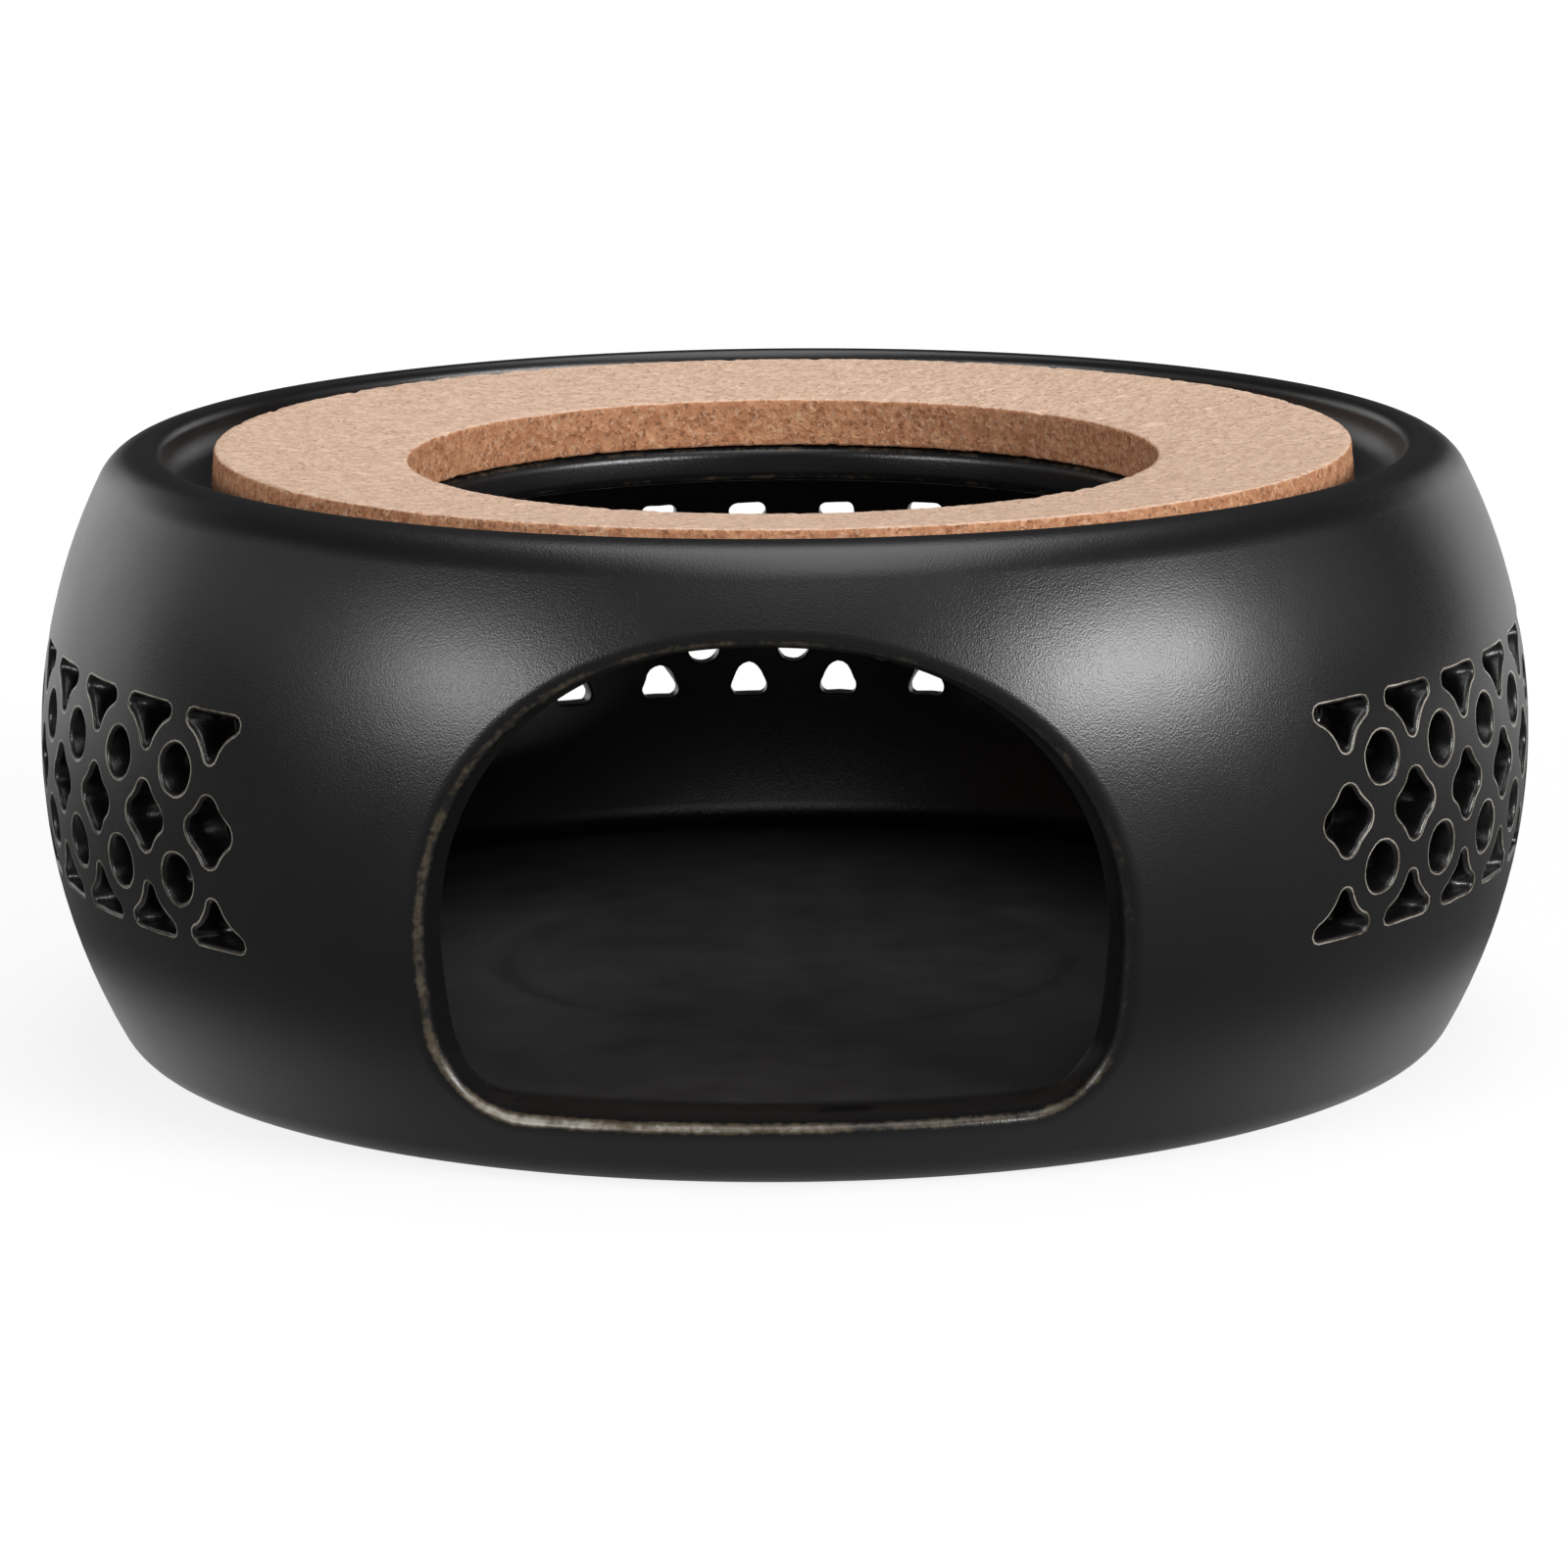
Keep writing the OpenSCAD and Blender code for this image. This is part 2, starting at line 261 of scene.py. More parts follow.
# The pattern leans by up to LEAN, highest at LEAN_TURN; that fades within CALM of the band's borders
LEAN, LEAN_TURN, CALM = 0.5, 125.0, 1.1
STAR_TIP, LONG_TIP, CORNER = 1.2, 0.7, 0.6
# Where glaze fills a hole: how far it rounds it, the circle's radius, and the triangle's dome and bends
FILL, CIRCLE_R = 0.4, 2.3
DOME, DOME_R = (0, 8.9), 1.63
BEND, BEND_R, BEND_TURN = (1.2, 9.9), 0.95, 25
FILLED_EDGE = 10.85
tip_y = RISE + sqrt((SIDE + LONG_TIP) ** 2 - HALF ** 2)
corner_y = EDGE - CORNER
corner_x = HALF - sqrt((SIDE + CORNER) ** 2 - (corner_y - RISE) ** 2)
circle_c = Vector((HALF, RISE))


def turn_to(a, b):
    return degrees(atan2(b[1] - a[1], b[0] - a[0]))


def band_height(y, turn):
    """Height of a place in the band, with the lean."""
    return BAND_Z + y + LEAN * cos(radians(turn - LEAN_TURN)) * min(1.0, (BAND - abs(y)) / CALM)


def star_quarter(o, fill):
    """A quarter star, grown by o, from its upper to its right tip; fill is how far glaze rounds it."""
    tip = STAR_TIP + FILL * fill
    up = (0, RISE - sqrt((SIDE + tip) ** 2 - HALF ** 2))
    right = (HALF - sqrt((SIDE + tip) ** 2 - RISE ** 2), 0)
    first, last = turn_to(up, circle_c), turn_to(right, circle_c)
    points = arc(up, tip + o, 90, first, 3)
    points += arc(circle_c, SIDE - o, first + 180, last + 180, 6)[1:]
    return points + arc(right, tip + o, last, 0, 3)[1:]


def triangle_cut(o):
    tip, corner = (0, tip_y), (corner_x, corner_y)
    first, last = turn_to(tip, circle_c), turn_to(corner, circle_c)
    points = arc(tip, LONG_TIP + o, -90, first, 3)
    points += arc(circle_c, SIDE - o, first + 180, last + 180, 5)[1:]
    points += arc(corner, CORNER + o, last, 90, 4)[1:]
    return points + line(points[-1], (0, EDGE + o), 2)[1:]


def triangle_filled(o):
    """The same outline where glaze has filled it: a dome with round shoulders."""
    bend_r, t = BEND_R + o, radians(BEND_TURN)
    points = arc(DOME, DOME_R + o, -90, -BEND_TURN, 3)
    points += line(points[-1], (BEND[0] + bend_r * cos(t), BEND[1] - bend_r * sin(t)), 3)[1:]
    points += arc(BEND, bend_r, -BEND_TURN, 90, 7)[1:]
    return points + line(points[-1], (0, FILLED_EDGE + o), 1)[1:]


def mixed(one, two, share):
    return [a.lerp(b, share) for a, b in zip(one, two)]


def triangle_half(o, fill):
    """Half a triangle, grown by o, from its long tip to its flat edge."""
    return mixed(triangle_cut(o), triangle_filled(o), fill)


def circle_half(o, fill):
    """Half a circle, grown by o, from its lowest to its highest point."""
    return arc(circle_c, CIRCLE_R - FILL * fill + o, 270, 90, 12)


# %% Rounding of a cut edge
ROUND_OUT, ROUND_IN, SHORE = 0.46, 0.3, 0.06
# Each ring of a hole's wall: growth of the outline, depth, share filled by glaze, thinness of the glaze.
# The high thinness at the start of the rounding paints a light line, partly thin glaze and partly a
# painted highlight.
# Both edges are quarter circles, and glaze fills the hole between 1.1 and 2.0 mm deep.
CUT_RINGS = [(ROUND_OUT + SHORE, 0.0, 0.0, 0.0), (ROUND_OUT, 0.0, 0.0, 1.0)]
for t, thin in ((9, 0.9), (32, 0.05), (62, 0.0), (90, 0.0)):
    CUT_RINGS.append((ROUND_OUT * (1 - sin(radians(t))), ROUND_OUT * (1 - cos(radians(t))), 0.0, thin))
CUT_RINGS += [(0.0, 1.1, 0.5, 0.0), (0.0, 2.0, 1.0, 0.0)]
for t in (0, 45, 90):
    CUT_RINGS.append((ROUND_IN * (1 - cos(radians(t))), WALL - ROUND_IN * (1 - sin(radians(t))), 1.0, 0.0))
FACE_RINGS = (CUT_RINGS[0], CUT_RINGS[-1])
print("cut rings (growth, depth):", [(round(r[0], 2), round(r[1], 2)) for r in CUT_RINGS])


def fill_flat(flat, loops, keep):
    """Triangles over flat points, with closed loops as edges; keep says which middles stay."""
    edges = [(loop[i], loop[(i + 1) % len(loop)]) for loop in loops for i in range(len(loop))]
    out, _, faces, origin, _, _ = geometry.delaunay_2d_cdt(flat, edges, [], 0, 1e-5)
    result = []
    for face in faces:
        middle = sum((out[i] for i in face), Vector((0, 0))) / 3
        if keep(middle):
            result.append(tuple(origin[i][0] for i in face))
    return result


def inside(point, loop):
    """Whether a flat point lies inside a closed loop of flat points."""
    x, y = point
    hit = False
    for a, b in zip(loop, loop[1:] + loop[:1]):
        if (a[1] > y) != (b[1] > y) and x < a[0] + (y - a[1]) / (b[1] - a[1]) * (b[0] - a[0]):
            hit = not hit
    return hit


# %% One quarter of a repeat, flat
def edge_points(o, fill):
    """Points of the quarter's holes and of the straight borders between them."""
    star, long_side, ring = star_quarter(o, fill), triangle_half(o, fill), circle_half(o, fill)
    web = [star[0].lerp(long_side[0], 0.5)]
    above = line(long_side[-1], (0, BAND), 2)[1:-1]
    right_low = line((HALF, 0), ring[0], 2)[1:-1]
    right_high = line(ring[-1], (HALF, BAND), 3)[1:-1]
    return star, long_side, ring, web, above, right_low, right_high


tile_points, tile_faces, tile_thin = [], [], []


def tile_row(points, depth, thin):
    first = len(tile_points)
    tile_points.extend((p[0], p[1], depth) for p in points)
    tile_thin.extend([thin] * len(points))
    return list(range(first, first + len(points)))


for hole in (star_quarter, triangle_half, circle_half):
    last = None
    for growth, depth, fill, thin in CUT_RINGS:
        ids = tile_row(hole(growth, fill), depth, thin)
        if last:
            tile_faces += quads(last, ids)
        last = ids
for growth, depth, fill, _ in FACE_RINGS:
    star, long_side, ring, web, above, right_low, right_high = edge_points(growth, fill)
    loop = star + [Vector((HALF, 0))] + right_low + ring + right_high + [Vector((HALF, BAND))]
    loop += [Vector((HALF / 2, BAND)), Vector((0, BAND))] + above[::-1] + long_side[::-1] + web
    ids = tile_row(loop, depth, 0.0)
    for face in fill_flat(loop, [list(range(len(loop)))], lambda m: inside(m, loop)):
        tile_faces.append(tuple(ids[i] for i in face))


def placed(name, data):
    """A new object in the scene."""
    made = bpy.data.objects.new(name, data)
    bpy.context.scene.collection.objects.link(made)
    return made


quarter = bpy.data.meshes.new("lattice_quarter")
quarter.from_pydata([Vector(p) * MM for p in tile_points], [], tile_faces)
quarter.attributes.new("thin_glaze", "FLOAT", "POINT").data.foreach_set("value", tile_thin)
quarter_object = placed("lattice_quarter", quarter)
print("quarter of a repeat:", len(tile_points), "points,", len(tile_faces), "faces")

# %% [markdown]
# Geometry Nodes repeats the quarter. The tree mirrors it twice to make one
# full repeat, sets copies side by side along a straight line, and then wraps
# the strip round the belly: the place along the strip becomes an angle, the
# height stays, and the depth shortens the radius of the belly's own arc. The
# rows lean by half a millimetre round the body, as they do on the real one. A
# change of one input would give a warmer with more or fewer columns.

# %% Tree that repeats and wraps the band
def new_tree(name):
    tree = bpy.data.node_groups.new(name, "GeometryNodeTree")
    tree.interface.new_socket("Geometry", in_out="INPUT", socket_type="NodeSocketGeometry")
    tree.interface.new_socket("Geometry", in_out="OUTPUT", socket_type="NodeSocketGeometry")
    return tree


def socket(tree, name, value, kind="NodeSocketFloat"):
    item = tree.interface.new_socket(name, in_out="INPUT", socket_type=kind)
    if value is not None:
        item.default_value = value
    return item.identifier


class Wiring:
    """Adds nodes to a tree and links them, so that a formula reads in one line."""

    def __init__(self, tree):
        self.tree = tree

    def put(self, value, target):
        if isinstance(value, (int, float, tuple, list)):
            target.default_value = value
        else:
            self.tree.links.new(value, target)

    def fill(self, made, inputs):
        """Fills or links inputs of a node, given by name or number."""
        for key, value in inputs.items():
            self.put(value, made.inputs[key])
        return made

    def node(self, kind, inputs=None, **settings):
        made = self.tree.nodes.new(kind)
        for key, value in settings.items():
            setattr(made, key, value)
        return self.fill(made, inputs or {})

    def math(self, operation, a, b=0.0):
        return self.node("ShaderNodeMath", {0: a, 1: b}, operation=operation).outputs[0]

    def vector(self, x=0.0, y=0.0, z=0.0):
        return self.node("ShaderNodeCombineXYZ", {0: x, 1: y, 2: z}).outputs[0]

    def parts(self, vector):
        return self.node("ShaderNodeSeparateXYZ", {0: vector}).outputs


WOBBLE = 0.45
band_tree = new_tree("pierced_band")
SOCKETS = {
    "columns": socket(band_tree, "Repeats", COLUMNS - 1, "NodeSocketInt"),
    "half": socket(band_tree, "Half repeat", HALF * MM),
    "start": socket(band_tree, "First angle", radians(RIGHT)),
    "widest": socket(band_tree, "Widest radius", WIDEST * MM),
    "arc": socket(band_tree, "Belly arc radius", OUTER * MM),
    "arc_x": socket(band_tree, "Belly arc centre", BELLY.x * MM),
    "lift": socket(band_tree, "Row above the widest place", (BAND_Z - BELLY.y) * MM),
    "height": socket(band_tree, "Height of the widest place", BELLY.y * MM),
    "lean": socket(band_tree, "Lean", LEAN * MM),
    "lean_turn": socket(band_tree, "Angle where the lean is highest", radians(LEAN_TURN)),
    "wobble": socket(band_tree, "Wobble of the knife", WOBBLE * MM),
    "seed": socket(band_tree, "Seed", 3.0),
    "glaze": socket(band_tree, "Glaze", None, "NodeSocketMaterial"),
}
w = Wiring(band_tree)
entry = w.node("NodeGroupInput")
given = {name: entry.outputs[k + 1] for k, name in enumerate(SOCKETS)}


def mirrored(source, axis, border=0.0):
    """The source joined with its mirror image at a border, whose faces are turned back outwards."""
    offset = w.vector(*(w.math("MULTIPLY", border, 2.0) if k == axis else 0.0 for k in range(3)))
    scale = [-1 if k == axis else 1 for k in range(3)]
    image = w.node("GeometryNodeTransform", {"Geometry": source, "Scale": scale, "Translation": offset})
    turned = w.node("GeometryNodeFlipFaces", {0: image.outputs[0]})
    join = w.node("GeometryNodeJoinGeometry", {0: source})
    w.put(turned.outputs[0], join.inputs[0])
    return join.outputs[0]


repeat = mirrored(mirrored(entry.outputs[0], 1), 0, given["half"])
whole = w.math("MULTIPLY", given["half"], 2.0)
strip = w.node("GeometryNodeMeshLine", {"Count": given["columns"], "Offset": w.vector(whole)})
copies = w.node("GeometryNodeInstanceOnPoints", {"Points": strip.outputs[0], "Instance": repeat})
realized = w.node("GeometryNodeRealizeInstances", {0: copies.outputs[0]})

# %% The wobble of the knife, which fades out at the borders of the strip
KNIFE_SCALE, KNIFE_DETAIL, END_CALM = 520.0, 2.5, 1.5
along, up, depth = w.parts(w.node("GeometryNodeInputPosition").outputs[0])
knife = w.node("ShaderNodeTexNoise", {
    "Vector": w.vector(along, up), "W": given["seed"], "Scale": KNIFE_SCALE, "Detail": KNIFE_DETAIL,
}, noise_dimensions="4D")
sway = w.parts(knife.outputs["Color"])
to_end = w.math("MINIMUM", along, w.math("SUBTRACT", w.math("MULTIPLY", whole, given["columns"]), along))
to_edge = w.math("SUBTRACT", BAND * MM, w.math("ABSOLUTE", up))
calm = w.math("MAXIMUM", w.math("MINIMUM", w.math("DIVIDE", to_edge, CALM * MM), 1.0), 0.0)
free = w.math("MAXIMUM", w.math("MINIMUM", w.math("DIVIDE", to_end, END_CALM * MM), calm), 0.0)
strength = w.math("MULTIPLY", free, given["wobble"])
along = w.math("ADD", along, w.math("MULTIPLY", w.math("SUBTRACT", sway[0], 0.5), strength))
up = w.math("ADD", up, w.math("MULTIPLY", w.math("SUBTRACT", sway[1], 0.5), strength))

# %% The wrap: strip to belly
turn = w.math("ADD", given["start"], w.math("DIVIDE", along, given["widest"]))
leaning = w.math("COSINE", w.math("SUBTRACT", turn, given["lean_turn"]))
lean = w.math("MULTIPLY", w.math("MULTIPLY", given["lean"], calm), leaning)
rise = w.math("ADD", w.math("ADD", up, given["lift"]), lean)
arc_here = w.math("SUBTRACT", given["arc"], depth)
across = w.math("SQRT", w.math("SUBTRACT", w.math("POWER", arc_here, 2.0), w.math("POWER", rise, 2.0)))
radius = w.math("ADD", given["arc_x"], across)
wrapped = w.vector(
    w.math("MULTIPLY", radius, w.math("SINE", turn)),
    w.math("MULTIPLY", w.math("MULTIPLY", radius, w.math("COSINE", turn)), -1.0),
    w.math("ADD", rise, given["height"]))
bent = w.node("GeometryNodeSetPosition", {"Geometry": realized.outputs[0], "Position": wrapped})
glazed = w.node("GeometryNodeSetMaterial", {"Geometry": bent.outputs[0], "Material": given["glaze"]})
w.node("NodeGroupOutput", {0: glazed.outputs[0]})
print("band tree:", len(band_tree.nodes), "nodes")


# %% Run the tree
def grown(source, tree, values, name):
    """The plain mesh that a tree makes of an object; the modifier is gone afterwards."""
    modifier = source.modifiers.new(name, "NODES")
    modifier.node_group = tree
    for key, value in values.items():
        modifier[key] = value
    evaluated = source.evaluated_get(bpy.context.evaluated_depsgraph_get())
    mesh = bpy.data.meshes.new_from_object(evaluated)
    source.modifiers.remove(modifier)
    mesh.name = name
    return mesh


black_glaze = bpy.data.materials.new("black_glaze")
band_mesh = grown(quarter_object, band_tree, {SOCKETS["glaze"]: black_glaze}, "pierced_band")
bpy.data.objects.remove(quarter_object)
print("pierced band:", len(band_mesh.vertices), "points,", len(band_mesh.polygons), "faces")

# %% [markdown]
# The window breaks the pattern, so the front of the stove is a sheet of its
# own: flat points on a loose grid, the window's outline, half a star column at
# each side, and a triangulation that joins them. The window is cut by hand on
# the real object, so its outline leans a little. The same outline is carried
# through the wall along the slant of the cut, until it meets the inside. Its
# outer edge is wiped wide with a sponge, the inner one is left sharper.

# %% Outline of the window
TILT = 0.4
# Half width, sill, crown, where the arch springs, radius of the lower corners, power of the arch
HALF_W, W_LOW, W_TOP, SPRING, TURN_R, FULL = 34.25, 6.6, 51.9, 20.0, 8.5, 2.3
ARCH_STEPS = 300
SILL_Z, SILL_BLUR = 7.25, 1.0
# Above the middle height the outline drops to the right and rises to the left, below it the reverse
LEAN_TOP, LEAN_LOW, MIDDLE_Z, LEAN_X, LEAN_Z = 0.5, 0.2, 29, 34, 22


def window_outline(count=176):
    """Evenly spaced [length along the belly, height] pairs, anticlockwise."""
    corner = (HALF_W - TURN_R, W_LOW + TURN_R)
    raw = line((0, W_LOW), (corner[0], W_LOW), 20)[:-1] + arc(corner, TURN_R, -90, 0, 30)
    for i in range(ARCH_STEPS + 1):
        t = pi * i / (2 * ARCH_STEPS)
        x = HALF_W * cos(t) ** (2 / FULL) if i < ARCH_STEPS else 0.0
        raw.append(Vector((x, SPRING + (W_TOP - SPRING) * sin(t) ** (2 / FULL))))
    raw += [Vector((-p.x, p.y)) for p in raw[-2:0:-1]]
    for p in raw:
        drop = LEAN_TOP if p.y > MIDDLE_Z else LEAN_LOW
        p.y -= drop * (p.x / LEAN_X) * ((p.y - MIDDLE_Z) / LEAN_Z)
    lengths = [0.0]
    for a, b in zip(raw, raw[1:] + raw[:1]):
        lengths.append(lengths[-1] + (b - a).length)
    result, k = [], 0
    for i in range(count):
        wanted = lengths[-1] * i / count
        while lengths[k + 1] < wanted:
            k += 1
        share = (wanted - lengths[k]) / (lengths[k + 1] - lengths[k])
        result.append(raw[k].lerp(raw[(k + 1) % len(raw)], share))
    return result


def grown_loop(loop, offset):
    """A closed outline moved outwards by offset."""
    count = len(loop)
    result = []
    for i, p in enumerate(loop):
        way = (loop[(i + 1) % count] - loop[i - 1]).normalized()
        result.append(p + offset * Vector((way.y, -way.x)))
    return result


# %% Flat maps of the outside and the inside
# The inner path starts on the floor at PATH_R; the search for the inside starts FIRST deep, in steps
PATH_R, FIRST, STEP = 46.0, 3.0, 0.06


def outer_spot(flat):
    """Flat (length along the belly, arc length above the widest place) to metres."""
    angle = flat[1] / OUTER
    return spot(degrees(flat[0] / WIDEST), BELLY.x + OUTER * cos(angle), BELLY.y + OUTER * sin(angle))


inner_path = line((PATH_R, FLOOR_Z), floor_c - Vector((0, FILLET)), 20)
inner_path += arc(floor_c, FILLET, -90, floor_turn, 40)[1:]
inner_path += arc(BELLY, INNER, floor_turn, shoulder_turn, 80)[1:]
inner_path += arc(shoulder_c, SHOULDER_R, shoulder_turn, 90 + SLOPE, 40)[1:]
inner_path += line(inner_path[-1], low_rows[-1], 20)[1:]
path_at = [0.0]
for a, b in zip(inner_path, inner_path[1:]):
    path_at.append(path_at[-1] + (b - a).length)


def path_point(length):
    k = 0
    while k < len(path_at) - 2 and path_at[k + 1] < length:
        k += 1
    share = (length - path_at[k]) / (path_at[k + 1] - path_at[k])
    return inner_path[k].lerp(inner_path[k + 1], share)


def path_length(point):
    """How far along the inner path its nearest place to a point lies."""
    best = (1e9, 0.0)
    for k, (a, b) in enumerate(zip(inner_path, inner_path[1:])):
        way = b - a
        share = max(0.0, min(1.0, (point - a).dot(way) / way.length_squared))
        best = min(best, ((point - a - share * way).length, path_at[k] + share * way.length))
    return best[1]


def inner_spot(flat):
    p = path_point(flat[1])
    return spot(degrees(flat[0] / WIDEST), p.x, p.y)


def soft_max(one, two, blur):
    """The greater of two numbers, with a smooth change from one to the other."""
    near = max(0.0, 1 - abs(one - two) / blur)
    return max(one, two) + blur * near * near / 4


def cut_place(p, depth):
    """Place in the section where the cut through a window point is at a depth."""
    rise = asin((p.y - BELLY.y) / OUTER)
    z = min(soft_max(p.y, SILL_Z, SILL_BLUR), p.y - TILT * tan(rise) * depth)
    return Vector((BELLY.x + OUTER * cos(rise) - depth, z))


def cut_depth(p):
    """How deep the cut runs before it reaches the inside."""
    last = cut_place(p, FIRST)
    for step in range(1, 200):
        here = cut_place(p, FIRST + STEP * step)
        for a, b in zip(inner_path, inner_path[1:]):
            hit = geometry.intersect_line_line_2d(last, here, a, b)
            if hit:
                return FIRST + STEP * (step - 1) + (hit - last).length
        last = here
    raise ValueError("the cut misses the inside")


# %% Rounded edges and walls of the window
W_OUT, W_IN = 1.8, 0.55
# The wear grows towards the sill over SILL_FADE mm below SILL_FROM, and to the left over SIDE_FADE mm
SILL_FROM, SILL_FADE, SIDE_FADE = 16, 8, 50
outline = window_outline()
flat_out = [Vector((p.x, OUTER * asin((p.y - BELLY.y) / OUTER))) for p in outline]
ends = [cut_depth(p) for p in outline]
flat_in = [Vector((p.x, path_length(cut_place(p, e)))) for p, e in zip(outline, ends)]
rim_out, rim_in = grown_loop(flat_out, W_OUT), grown_loop(flat_in, W_IN)


def on_cut(i, depth):
    place = cut_place(outline[i], depth)
    return spot(degrees(outline[i].x / WIDEST), place.x, place.y)


def rounded(from_point, corner, to_point, share):
    """A point on the soft curve that leaves one side of a corner and joins the other."""
    return from_point * (1 - share) ** 2 + corner * 2 * share * (1 - share) + to_point * share ** 2


def worn(p):
    """How far the glaze has drawn back round the window: most along the sill and at its left end."""
    low = max(0.0, min(1.0, (SILL_FROM - p.y) / SILL_FADE))
    left = max(0.0, min(1.0, 0.5 - p.x / SIDE_FADE))
    return 0.27 + 0.13 * left + low * (0.16 + 0.30 * left * left)


def window_row(place):
    return [place(i) for i in range(len(outline))]


window_rows = []
for share in (0.0, 0.15, 0.3, 0.45, 0.6, 0.8, 1.0):
    window_rows.append(window_row(
        lambda i: rounded(outer_spot(rim_out[i]), on_cut(i, 0), on_cut(i, W_OUT), share)))
for share in (0.35, 0.7):
    window_rows.append(window_row(lambda i: on_cut(i, W_OUT + share * (ends[i] - W_IN - W_OUT))))
for share in (0.0, 0.25, 0.5, 0.75, 1.0):
    window_rows.append(window_row(
        lambda i: rounded(on_cut(i, ends[i] - W_IN), on_cut(i, ends[i]), inner_spot(rim_in[i]), share)))
WINDOW_THIN = [0.0, 0.0, 0.35, 0.95, 0.95, 0.6, 0.05] + [0.0] * 7
skin(window_rows, [[thin * worn(p) for p in outline] for thin in WINDOW_THIN], closed=True)
wall_span = round(min(ends), 2), "to", round(max(ends), 2), "mm"
print("window outline:", len(outline), "points; wall from", *wall_span)


# %% Rows below and above the band
def belly_rows(radius, low_turn, high_turn, steps_low, steps_high):
    """Rows of a belly arc on both sides of the band, for the back grid and the front sheets."""
    low = belly_angle(BAND_Z - BAND, radius)
    high = belly_angle(BAND_Z + BAND, radius)
    return arc(BELLY, radius, low_turn, low, steps_low), arc(BELLY, radius, high, high_turn, steps_high)


out_low, out_high = belly_rows(OUTER, base_turn, rim_turn, 7, 7)
in_low, in_high = belly_rows(INNER, floor_turn, shoulder_turn, 3, 2)
in_low = floor_rows[::-1][:-1] + fillet_rows[::-1][:-1] + in_low
in_high = in_high + shoulder_rows[::-1][1:]
sweep(out_low, back_turns)
sweep(out_high, back_turns)
sweep(in_low, back_turns)
sweep(in_high, back_turns)
print("shell so far:", len(shell_points), "points,", len(shell_faces), "faces")


# %% Sheets of the front
# Pitch of the loose grid, and how far its points keep from edges and from the rings round the hole
GRID, EDGE_CLEAR, HOLE_CLEAR = 3.0, 1.7, 1.4


def front_sheet(low_rows, high_rows, face_ring, arc_now, to_flat, to_spot, hole, rings):
    """One side of the front wall: a triangulated sheet with the window and two half star columns."""
    flat, real, thin = [], [], []

    def put(point, place, t=0.0):
        flat.append(Vector(point))
        real.append(place)
        thin.append(t)
        return len(flat) - 1

    def row_point(row, turn):
        return put((WIDEST * radians(turn), to_flat(row)), spot(turn, row[0], row[1]))

    low = [row_point(low_rows[0], t) for t in front_turns]
    high = [row_point(high_rows[-1], t) for t in front_turns]
    star, long_side, _, web, above, _, _ = edge_points(face_ring[0], face_ring[2])
    upper = star[::-1] + web + long_side + above
    profile = [(q[0], -q[1]) for q in upper[::-1]][:-1] + [(q[0], q[1]) for q in upper]
    sides = {}
    for side, turn in ((1, RIGHT), (-1, -LEFT)):
        ids = [row_point(row, turn) for row in low_rows[1:]]
        for x, y in profile:
            here = turn - side * degrees(x / WIDEST)
            z = band_height(y, here)
            place = Vector((BELLY.x + sqrt(arc_now ** 2 - (z - BELLY.y) ** 2), z))
            ids.append(put((WIDEST * radians(here), to_flat(place)), spot(here, place.x, z)))
        sides[side] = ids + [row_point(row, turn) for row in high_rows[:-1]]
    boundary = low + sides[1] + high[::-1] + sides[-1][::-1]
    hole_ids = [put(q, to_spot(q)) for q in hole]
    for gap in rings:
        for q in grown_loop(hole, gap):
            put(q, to_spot(q))
    outer_loop = [flat[i] for i in boundary]
    hole_loop = [flat[i] for i in hole_ids]
    far_loop = grown_loop(hole, rings[-1] + HOLE_CLEAR)
    v_low, v_high = flat[low[0]].y, flat[high[0]].y
    for j in range(1, ceil((v_high - v_low) / GRID)):
        for i in range(-20, 21):
            q = Vector(((i + 0.5 * (j % 2)) * GRID, v_low + j * GRID))
            near = min((q - edge).length for edge in outer_loop + hole_loop)
            if near > EDGE_CLEAR and inside(q, outer_loop) and not inside(q, far_loop):
                put(q, to_spot(q))
    faces = fill_flat(flat, [boundary, hole_ids],
                      lambda m: inside(m, outer_loop) and not inside(m, hole_loop))
    ids = add_points(real, thin)
    shell_faces.extend(tuple(ids[i] for i in face) for face in faces)
    return len(faces)


made = front_sheet(out_low, out_high, FACE_RINGS[0], OUTER,
                   lambda q: OUTER * asin((q[1] - BELLY.y) / OUTER), outer_spot, rim_out, (0.7, 1.7, 3.0))
print("outer front sheet:", made, "faces")
made = front_sheet(in_low, in_high, FACE_RINGS[1], INNER,
                   lambda q: path_length(Vector(q)), inner_spot, rim_in, (1.2,))
print("inner front sheet:", made, "faces")

# %% Walls of the half stars at the sides of the front
def half_star_spot(q, depth, turn, side):
    """A flat point of a hole at a depth in the wall, beside the column at turn."""
    here = turn - side * degrees(q[0] / WIDEST)
    z = band_height(q[1], here)
    return spot(here, BELLY.x + sqrt((OUTER - depth) ** 2 - (z - BELLY.y) ** 2), z)


for side, turn in ((1, RIGHT), (-1, -LEFT)):
    for hole in (star_quarter, triangle_half):
        for half in (1, -1):
            hole_rows = [[half_star_spot((q.x, half * q.y), depth, turn, side) for q in hole(growth, fill)]
                         for growth, depth, fill, _ in CUT_RINGS]
            skin(hole_rows, [ring[3] for ring in CUT_RINGS])
print("whole shell:", len(shell_points), "points,", len(shell_faces), "faces")

# %% [markdown]
# Now the shell and the band become one closed skin: near-equal points are
# merged, and the faces are turned outwards once the skin is closed. A smooth
# belly needs more than averaged normals next to the cut edges, so every point
# that lies on the belly's own arc is given the exact normal of that arc.

